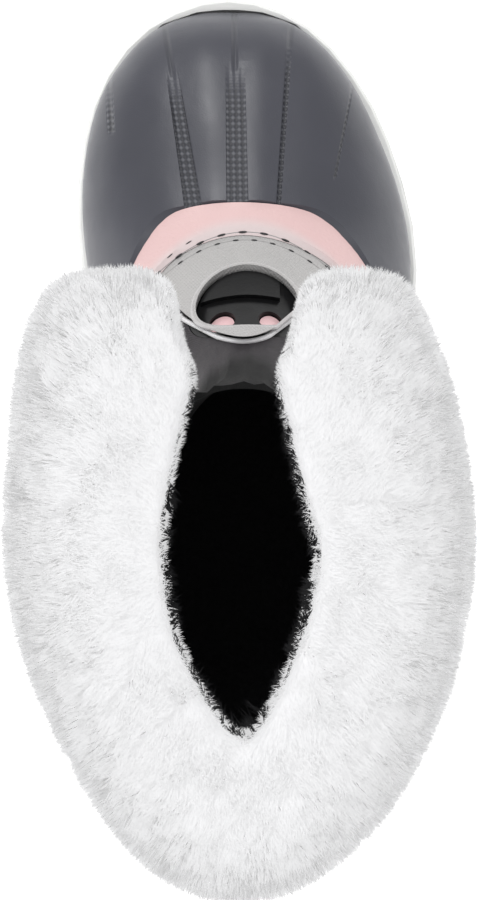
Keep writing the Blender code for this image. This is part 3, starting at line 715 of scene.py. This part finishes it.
band = piece_of("pink_band", last_form(GAP + BAND_FACE))
trim(band, "DIFFERENCE", last_form(GAP, rise=ABOVE_COLLAR))
trim(band, "INTERSECT", from_side(beside(top_line, GAP) + beside(top_line, BAND_WIDTH)[::-1]))
soften(band)
blush = Finish("pink coated textile", (0.86, 0.62, 0.62), 0.55, Sheen_Weight=0.15)
bow = blush.axis("X") - ROW_MIDDLE
rear = blush.along() + bow * bow * ROW_BOW
fade = rear.step(205.0, 199.5) * blush.axis("Z").step(74.0, 80.0)
rose = blush.mix(blush.noise(18.0, 3.0), (0.70, 0.48, 0.475), (0.74, 0.52, 0.51))
blush.feed("Base Color", blush.mix(fade * 0.6, rose, (0.62, 0.60, 0.60)))
blush.feed("Roughness", blush.noise(5.0) * 0.2 + 0.45)
blush.bump(blush.noise(1.2, 4.0), 0.2)
dress(band, blush)
seat(band, "vamp_band", "vamp_band")

# The shell is dark slate rubber in one moulding, with crowned panels between recessed channels that hold
# a fine knurl. It is bonded over the upper and into the sole's rim.
SHELL_FACE = 2.8
CHANNEL_DEPTH = 0.7
CHANNEL_FADE = 22.0
CHANNEL_TIP = 3.0
KNURL_TURN = 1.55
PANEL_REAR = 204.0
PANEL_LENGTH = 66.0
PANEL_SWELL = 0.75
PANEL_DROP = 0.35
# A channel or side mark: u and its two edges at the front end, then at the rear end
CHANNELS = (
    ((254.0, 4.4, -2.2), (206.0, 4.0, -3.4)),
    ((252.0, 24.4, 20.0), (204.0, 17.7, 11.5)),
    ((262.0, -16.2, -18.2), (204.0, -12.2, -13.9)),
)
SIDE_MARKS = (((249.0, 45.5, 42.5), (234.0, 44.5, 41.5)), ((250.0, -38.2, -39.4), (218.0, -31.8, -33.0)))


def panel_crown(x, u, z):
    """The panels between the channels swell a little, and dip beside them."""
    share = min(max((u - PANEL_REAR) / PANEL_LENGTH, 0.0), 1.0)
    middles = [(0.5 * sum(front[1:]), 0.5 * sum(back[1:])) for front, back in CHANNELS]
    nearest = min(abs(x - back - share * (front - back)) for front, back in middles)
    inside = math.exp(-(max(u - 262.0, 0.0) / 8.0) ** 2) * min(max((u - 170.0) / 30.0, 0.0), 1.0)
    return PANEL_SWELL * inside * (1.0 - math.exp(-(nearest / 6.0) ** 2)) - PANEL_DROP


def channel_floor(front_u):
    """The floor of a channel, which rises to the face of the shell at the channel's front end."""
    def floor_relief(x, u, z):
        deep = min(max((front_u + CHANNEL_TIP - u) / CHANNEL_FADE, 0.0), 1.0)
        return panel_crown(x, u, z) - CHANNEL_DEPTH * deep + 0.05
    return floor_relief


shell = piece_of("rubber_shell", last_form(SHELL_FACE, relief=panel_crown))
trim(shell, "DIFFERENCE", last_form(GAP, rise=ABOVE_COLLAR))
trim(shell, "DIFFERENCE", from_side(top_line + [(TOPLINE[-1][0], HEADROOM), (TOPLINE[0][0], HEADROOM)]))
trim(shell, "DIFFERENCE", bottom_opening())
for (u0, a0, b0), (u1, a1, b1) in CHANNELS:
    corners = ((a0, u0 + CHANNEL_TIP), (b0, u0 + CHANNEL_TIP), (b1, u1), (a1, u1))
    bar = piece_of("channel", swept([place(x, u, 40.0) for x, u in corners], (0.0, 0.0, 70.0)))
    trim(bar, "DIFFERENCE", last_form(SHELL_FACE, rise=ABOVE_COLLAR, relief=channel_floor(u0)))
    trim(shell, "DIFFERENCE", taken(bar))
soften(shell, 30.0)
slate = Finish("slate rubber", (0.060, 0.062, 0.075), 0.4, Coat_Weight=0.06, Coat_Roughness=0.3)
across, along = slate.axis("X"), slate.along()
hollows = crease = channels = 0.0
for (u0, a0, b0), (u1, a1, b1) in CHANNELS + SIDE_MARKS:
    share = (along - u1) * (1.0 / (u0 - u1))
    left, right = share * (a0 - a1) + a1, share * (b0 - b1) + b1
    middle = (left + right) * 0.5
    between = (left - across).step(0.0, 0.4) * (across - right).step(0.0, 0.4)
    within = between * along.step(u1 - 2.0, u1) * (u0 - along).step(-4.0, 14.0)
    one_way = ((along + across - middle) * KNURL_TURN).math("SINE")
    other_way = ((along - across + middle) * KNURL_TURN).math("SINE")
    channels = within + channels
    hollows = within * (one_way * other_way * 0.5 + 0.5) + hollows
    crease = (across - middle).size().step(1.4, 0.0) * along.step(u0 - 3.0, u0 + 3.0) + crease
cloudy = slate.mix(slate.noise(30.0, 3.0), (0.046, 0.048, 0.060), (0.066, 0.067, 0.084))
# Painted highlights: the raised points of the knurl are painted a lighter slate.
knurl_painted_glints = slate.mix((channels - hollows).step(0.45, 0.95) * 0.6, cloudy, (0.16, 0.165, 0.18))
# Painted shade: the knurl's hollows and the creases running forward from the channels are painted darker.
painted_hollow_shade = (hollows.step(0.2, 0.7) * 0.55 + crease * 0.2).clamp()
slate.feed("Base Color", slate.mix(painted_hollow_shade, knurl_painted_glints, (0.026, 0.027, 0.030)))
slate.feed("Roughness", slate.noise(11.0, 4.0) * 0.22 + 0.30)
grain = slate.noise(0.5, 2.0) * 0.12 + slate.noise(9.0, 2.0) * 0.4
slate.bump(hollows * -1.6 - crease * 1.2 + grain, 0.4)
dress(shell, slate)
seat(shell, "shell", "shell")

# Two rows of dark waxed thread hold the upper's layers together behind the band, and a few small stitches
# tack the band's end. Each stitch dips into the cloth, and a faint dark line of painted shade lies in the
# seam under each row.
STITCH_RISE = 0.05
SEAM_ENDS = (-31.0, 27.0)
SEAM_RADIUS = 0.16
# A row: u of its foremost point, its first x, its pitch, how many stitches, and their length and radius
STITCH_ROWS = (
    (198.1, -29.6, 7.05, 9, 3.0, 0.44), (195.4, -29.6, 6.1, 10, 2.1, 0.36), (200.4, 16.5, 6.2, 3, 2.4, 0.22),
)
thread = Finish("dark waxed thread", (0.012, 0.012, 0.013), 0.5)
thread.feed("Base Color", thread.mix(thread.noise(0.8), (0.008, 0.008, 0.009), (0.03, 0.03, 0.032)))
thread.bump(thread.noise(0.4), 0.1)
band_surface = surface(band)


def row_point(x, crown, rise):
    """A point on the upper or band, seen from above, on a row whose foremost point is at crown."""
    u = crown - ROW_BOW * (x - ROW_MIDDLE) ** 2
    below = (0.0, 0.0, -1.0)
    found = [s.ray_cast(place(x, u, HEADROOM), below)[:2] for s in (upper_surface, band_surface)]
    hit, normal = max((f for f in found if f[0] is not None), key=lambda f: f[0].z)
    return hit + normal * rise * MM


stitches = bmesh.new()
for crown, first_x, pitch, count, length, radius in STITCH_ROWS:
    for k in range(count):
        at = row_point(first_x + k * pitch, crown, STITCH_RISE)
        ahead = row_point(first_x + k * pitch + 1.0, crown, STITCH_RISE)
        made = bmesh.ops.create_uvsphere(stitches, u_segments=10, v_segments=6, radius=radius * MM)["verts"]
        bmesh.ops.scale(stitches, verts=made, vec=(0.9, 0.9, 0.5 * length / radius))
        heading = (ahead - at).to_track_quat("Z", "Y").to_matrix()
        bmesh.ops.rotate(stitches, verts=made, cent=(0.0, 0.0, 0.0), matrix=heading)
        bmesh.ops.translate(stitches, verts=made, vec=at)
sewing = piece_of("stitches", stitches)
sewing.data.shade_smooth()
dress(sewing, thread)
seat(sewing, "upper")
# Painted shade: a thin darker cord, sunk along each row of stitches, stands for the shade in the seam.
seam_shadow = Finish("painted seam shade", (0.30, 0.29, 0.29), 0.8)
seam_tone = seam_shadow.mix(seam_shadow.noise(3.0), (0.26, 0.25, 0.25), (0.40, 0.39, 0.39))
seam_shadow.feed("Base Color", seam_tone)
for name, row in zip(("outer_seam_shade", "inner_seam_shade"), STITCH_ROWS):
    seam = tube(name, [row_point(x, row[0], -STITCH_RISE) for x in np.linspace(*SEAM_ENDS, 70)], SEAM_RADIUS)
    dress(seam, seam_shadow)
    seat(seam, "upper")

# The cuff is long white pile on a knitted back, rolled over padding and folded down over the top of the
# shaft. Its bed is the padded roll that carries the pile.
CUFF_FOOT = 90.0
CUFF_CUT = 160.0
PILE_ROOM = 1.5
LINING_TOP = 186.0
BED_VOXEL = 2.6
# A row of the plan: u, and its medial and lateral edge
CUFF_ROWS = (
    (-11.0, 3.0, -4.0), (-8.5, 13.0, -14.0), (0.0, 28.0, -29.0), (19.0, 43.5, -47.0), (49.0, 59.5, -62.5),
    (74.0, 68.0, -69.0), (100.0, 71.5, -72.0), (134.0, 69.5, -68.0), (157.0, 66.5, -61.5),
    (173.0, 61.0, -54.0), (181.0, 46.0, -42.0),
)
# A level: z, and how far the plan is drawn in there
CUFF_LEVELS = (
    (136.0, 24.0), (138.5, 14.0), (146.0, 6.5), (158.0, 3.5), (177.0, 4.0), (193.0, 6.5), (205.0, 11.5),
    (213.0, 18.5), (216.0, 27.0),
)
CUFF_INNER = (
    (39.5, -1.5, -2.5), (44.0, 4.5, -7.5), (52.0, 10.5, -11.5), (72.0, 20.0, -20.0), (95.0, 23.5, -24.5),
    (113.0, 22.0, -20.5), (135.0, 17.5, -15.5), (148.0, 15.0, -13.0), (157.0, 18.5, -17.0),
    (175.0, 21.5, -21.0), (195.0, 24.0, -24.0),
)


def both_sides(rows):
    """The medial edge of the rows and back along the lateral one, as points of x and u."""
    return [(m, u) for u, m, _ in rows], [(l, u) for u, _, l in rows[::-1]]


medial, lateral = both_sides(CUFF_ROWS)
plan = np.array(smooth_line(medial + lateral, 5))
low, high = plan.min(axis=0), plan.max(axis=0)
bed_form = bmesh.new()
rims = []
for z, drawn_in in CUFF_LEVELS:
    kept = 1.0 - (drawn_in + PILE_ROOM) / (0.5 * (high - low))
    loop = 0.5 * (low + high) + (plan - 0.5 * (low + high)) * kept
    ring = bmesh.ops.create_circle(bed_form, segments=len(loop), radius=1.0)["verts"]
    for vert, (px, pu) in zip(ring, loop):
        vert.co = place(px, pu, z)
    rims.append({edge for vert in ring for edge in vert.link_edges})
for near, far in zip(rims, rims[1:]):
    bmesh.ops.bridge_loops(bed_form, edges=list(near | far))
bmesh.ops.contextual_create(bed_form, geom=list(rims[0]))
bmesh.ops.contextual_create(bed_form, geom=list(rims[-1]))
bmesh.ops.recalc_face_normals(bed_form, faces=bed_form.faces)
bed = piece_of("cuff_bed", bed_form)
medial, lateral = both_sides(CUFF_INNER)
inner_edge = smooth_line(medial, 5) + smooth_line(lateral, 5)
trim(bed, "DIFFERENCE", swept([place(px, pu, CUFF_FOOT) for px, pu in inner_edge], (0.0, 0.0, CUFF_CUT)))
inner_roll = piece_of("inner roll", last_form(-UPPER_WALL - GAP, first=5, rise=ABOVE_COLLAR))
upper_part = [(-40.0, LINING_TOP), (-40.0, HEADROOM), (230.0, HEADROOM), (230.0, LINING_TOP)]
trim(inner_roll, "INTERSECT", from_side(upper_part))
shaft_slot = piece_of("shaft slot", last_form(GAP, first=5, rise=GAP))
trim(shaft_slot, "DIFFERENCE", taken(inner_roll))
trim(bed, "DIFFERENCE", taken(shaft_slot))
remesh = bed.modifiers.new("even faces", "REMESH")
remesh.mode = "VOXEL"
remesh.voxel_size = BED_VOXEL * MM
soft = bed.modifiers.new("soft", "SMOOTH")
soft.iterations = 6
graph = bpy.context.evaluated_depsgraph_get()
bed_mesh = bpy.data.meshes.new_from_object(bed.evaluated_get(graph))
bed.modifiers.clear()
bed.data = bed_mesh
bed.data.shade_smooth()
# Painted light: the pile and its bed glow with a white emission of 0.5 over a grey base, which stands in for
# the light a dense white pile scatters through itself.
fur_white_glow = Finish(
    "white pile", (0.38, 0.38, 0.385), 0.9,
    Sheen_Weight=0.2, Emission_Color=(1.0, 1.0, 1.0, 1.0), Emission_Strength=0.50
)
fur_white_glow.feed("Base Color", fur_white_glow.mix(fur_white_glow.noise(9.0, 3.0), (0.35, 0.35, 0.36), (0.41, 0.41, 0.42)))
fur_white_glow.bump(fur_white_glow.noise(9.0, 5.0), 1.5)
dress(bed, fur_white_glow)
seat(bed, "fur_cuff", "fur_cuff")

# The pile is fine white fibre, knitted into the back that covers the bed. It stands out and hangs down the
# sides, is shorter beside the opening, and is made in four pieces from the heel end to the front.
PIECES = 4
HAIRS = 62000
HAIR_WIDTH = 0.42
HAIR_LENGTHS = (3.4, 6.6)
HAIRS_IN_LOCK = 160
SHORT_MARGIN = 9.0
OPENING_MIDDLE = (-1.0, 95.0)
HANGING_BELOW = 190.0
SPREADING_ABOVE = 200.0
CLEAR_OF_SHAFT = 2.5


def in_locks(roots, seed):
    """The middle of the lock that each root belongs to, and that lock's own lean."""
    rng = np.random.default_rng(seed)
    seeds = rng.choice(len(roots), max(len(roots) // HAIRS_IN_LOCK, 2), replace=False)
    tree = KDTree(len(seeds))
    for index, root in enumerate(roots[seeds]):
        tree.insert(root, index)
    tree.balance()
    group = np.array([tree.find(root)[1] for root in roots])
    return roots[seeds][group], rng.normal(0.0, 0.16, (len(seeds), 3))[group]


def pile_hairs(name, roots, facings, leans, lengths, centres, width, seed):
    """Tapered hairs from their roots along their leans, drawn together a little into locks at their tips.
    Each is shaded as the bed below it, since a pile this dense scatters light as one soft mass."""
    rng = np.random.default_rng(seed)
    count = len(roots)
    own = leans + rng.normal(0.0, 0.22, (count, 3))
    own /= np.linalg.norm(own, axis=1, keepdims=True)
    reach = (lengths * rng.uniform(0.55, 1.1, count))[:, None] * MM
    tip = roots + own * reach + (centres - roots) * 0.25
    middle = 0.5 * (roots + tip) + 0.10 * reach * facings
    side = np.cross(own, facings + rng.normal(0.0, 0.1, (count, 3)))
    side /= np.linalg.norm(side, axis=1, keepdims=True) + 1e-12
    side *= width * MM * 0.5
    points = np.stack([roots - side, roots + side, middle + side * 0.8, middle - side * 0.8, tip], axis=1)
    start = np.arange(count) * 5
    quads = np.stack([start, start + 1, start + 2, start + 3], axis=1)
    tips = np.stack([start + 3, start + 2, start + 4], axis=1)
    mesh = bpy.data.meshes.new(name)
    mesh.from_pydata(points.reshape(-1, 3).tolist(), [], quads.tolist() + tips.tolist())
    mesh.shade_smooth()
    mesh.normals_split_custom_set_from_vertices(np.repeat(facings, 5, axis=0).tolist())
    piece = bpy.data.objects.new(name, mesh)
    bpy.context.scene.collection.objects.link(piece)
    return piece


def scattered(mesh, count, seed, keep):
    """Points strewn evenly over a mesh, with its smooth normals there."""
    rng = np.random.default_rng(seed)
    mesh.calc_loop_triangles()
    corners = np.empty(len(mesh.loop_triangles) * 3, np.int32)
    mesh.loop_triangles.foreach_get("vertices", corners)
    corners = corners.reshape(-1, 3)
    at, facing = np.empty(len(mesh.vertices) * 3), np.empty(len(mesh.vertices) * 3)
    mesh.vertices.foreach_get("co", at)
    mesh.vertices.foreach_get("normal", facing)
    at, facing = at.reshape(-1, 3), facing.reshape(-1, 3)
    a, b, c = at[corners[:, 0]], at[corners[:, 1]], at[corners[:, 2]]
    weight = np.linalg.norm(np.cross(b - a, c - a), axis=1) * keep((a + b + c) / 3.0)
    chosen = rng.choice(len(weight), count, p=weight / weight.sum())
    s, t = rng.uniform(0.0, 1.0, (2, count))
    s, t = np.where(s + t > 1.0, 1.0 - s, s), np.where(s + t > 1.0, 1.0 - t, t)
    shares = np.stack([1.0 - s - t, s, t], axis=1)[:, :, None]
    picked = corners[chosen]
    normals = (facing[picked] * shares).sum(axis=1)
    return (at[picked] * shares).sum(axis=1), normals / np.linalg.norm(normals, axis=1, keepdims=True)


def off_the_shaft(middle):
    """1 where a face's middle is clear of the shaft, so that no pile grows on the hidden side."""
    near = np.array([upper_surface.find_nearest(Vector(p))[3] for p in middle])
    return (near > CLEAR_OF_SHAFT * MM).astype(float)


def from_opening(at):
    """How far each point lies outside the cuff's inner edge in plan, in millimetres."""
    edge = np.array(inner_edge)
    plan_at = np.stack([at[:, 0] / MM, ORIGIN_U - at[:, 1] / MM], axis=1)
    nearest = np.full(len(plan_at), 1e9)
    for begin, end in zip(edge, np.roll(edge, -1, axis=0)):
        run = end - begin
        share = np.clip(((plan_at - begin) @ run) / max(run @ run, 1e-9), 0.0, 1.0)
        nearest = np.minimum(nearest, np.linalg.norm(plan_at - begin - share[:, None] * run, axis=1))
    return nearest


roots, normals = scattered(bed.data, HAIRS * PIECES, 7, off_the_shaft)
heights = roots[:, 2] / MM
margin = np.clip(from_opening(roots) / SHORT_MARGIN, 0.0, 1.0)
leans = normals.copy()
leans[:, 2] += np.where(heights < HANGING_BELOW, -0.30, 0.1)
away = roots[:, :2] - np.array(place(*OPENING_MIDDLE, 0.0)[:2])
away /= np.linalg.norm(away, axis=1, keepdims=True)
leans[:, :2] += away * (np.where(heights > SPREADING_ABOVE, 0.6, 0.15) + 0.6 * (1.0 - margin))[:, None]
lengths = HAIR_LENGTHS[0] + (HAIR_LENGTHS[1] - HAIR_LENGTHS[0]) * margin
centres, lock_leans = in_locks(roots, 20)
leans += lock_leans
in_order = np.lexsort((roots[:, 1], centres[:, 1]))
for quarter in range(PIECES):
    mine = in_order[quarter * HAIRS:(quarter + 1) * HAIRS]
    hairs = pile_hairs(
        f"cuff_pile_{quarter + 1}", roots[mine], normals[mine], leans[mine], lengths[mine], centres[mine],
        HAIR_WIDTH, 20 + quarter
    )
    dress(hairs, fur_white_glow)
    seat(hairs, "fur_cuff")

# Tufts of the black lining pile stand up along the inner edge of the cuff and break its line. They grow from
# the same cloth as the lining, where it meets the white pile.
TUFTS_PER_MM = 26.0
TUFT_HEIGHTS = (172.0, 204.0)
TUFT_LENGTH = 4.6
TUFT_WIDTH = 0.4
TUFTS_END = 165.0
edge_points, edge_facings, edge_leans = [], [], []
rng = np.random.default_rng(3)
loop_points = np.array(inner_edge)
for begin, end in zip(loop_points, np.roll(loop_points, -1, axis=0)):
    run = end - begin
    span = np.linalg.norm(run)
    if span < 1e-6 or begin[1] > TUFTS_END:
        continue
    inward = np.array([0.0, OPENING_MIDDLE[1]]) - begin
    inward /= np.linalg.norm(inward)
    for share in rng.uniform(0.0, 1.0, int(span * TUFTS_PER_MM)):
        where = begin + run * share + inward * rng.uniform(0.4, 1.6)
        edge_points.append(place(where[0], where[1], rng.uniform(*TUFT_HEIGHTS)))
        edge_facings.append((0.0, 0.0, 1.0))
        outwards = -0.9 * math.sin(0.8 * begin[1] + 3.0 * begin[0]) - 0.2
        edge_leans.append((inward[0] * outwards, -inward[1] * outwards, 0.55))
edge_points = np.array(edge_points)
centres, lock_leans = in_locks(edge_points, 91)
tufts = pile_hairs(
    "lining_tufts", edge_points, np.array(edge_facings), np.array(edge_leans) + lock_leans,
    np.full(len(edge_points), TUFT_LENGTH), centres, TUFT_WIDTH, 91
)
dress(tufts, pile)
seat(tufts, "upper")
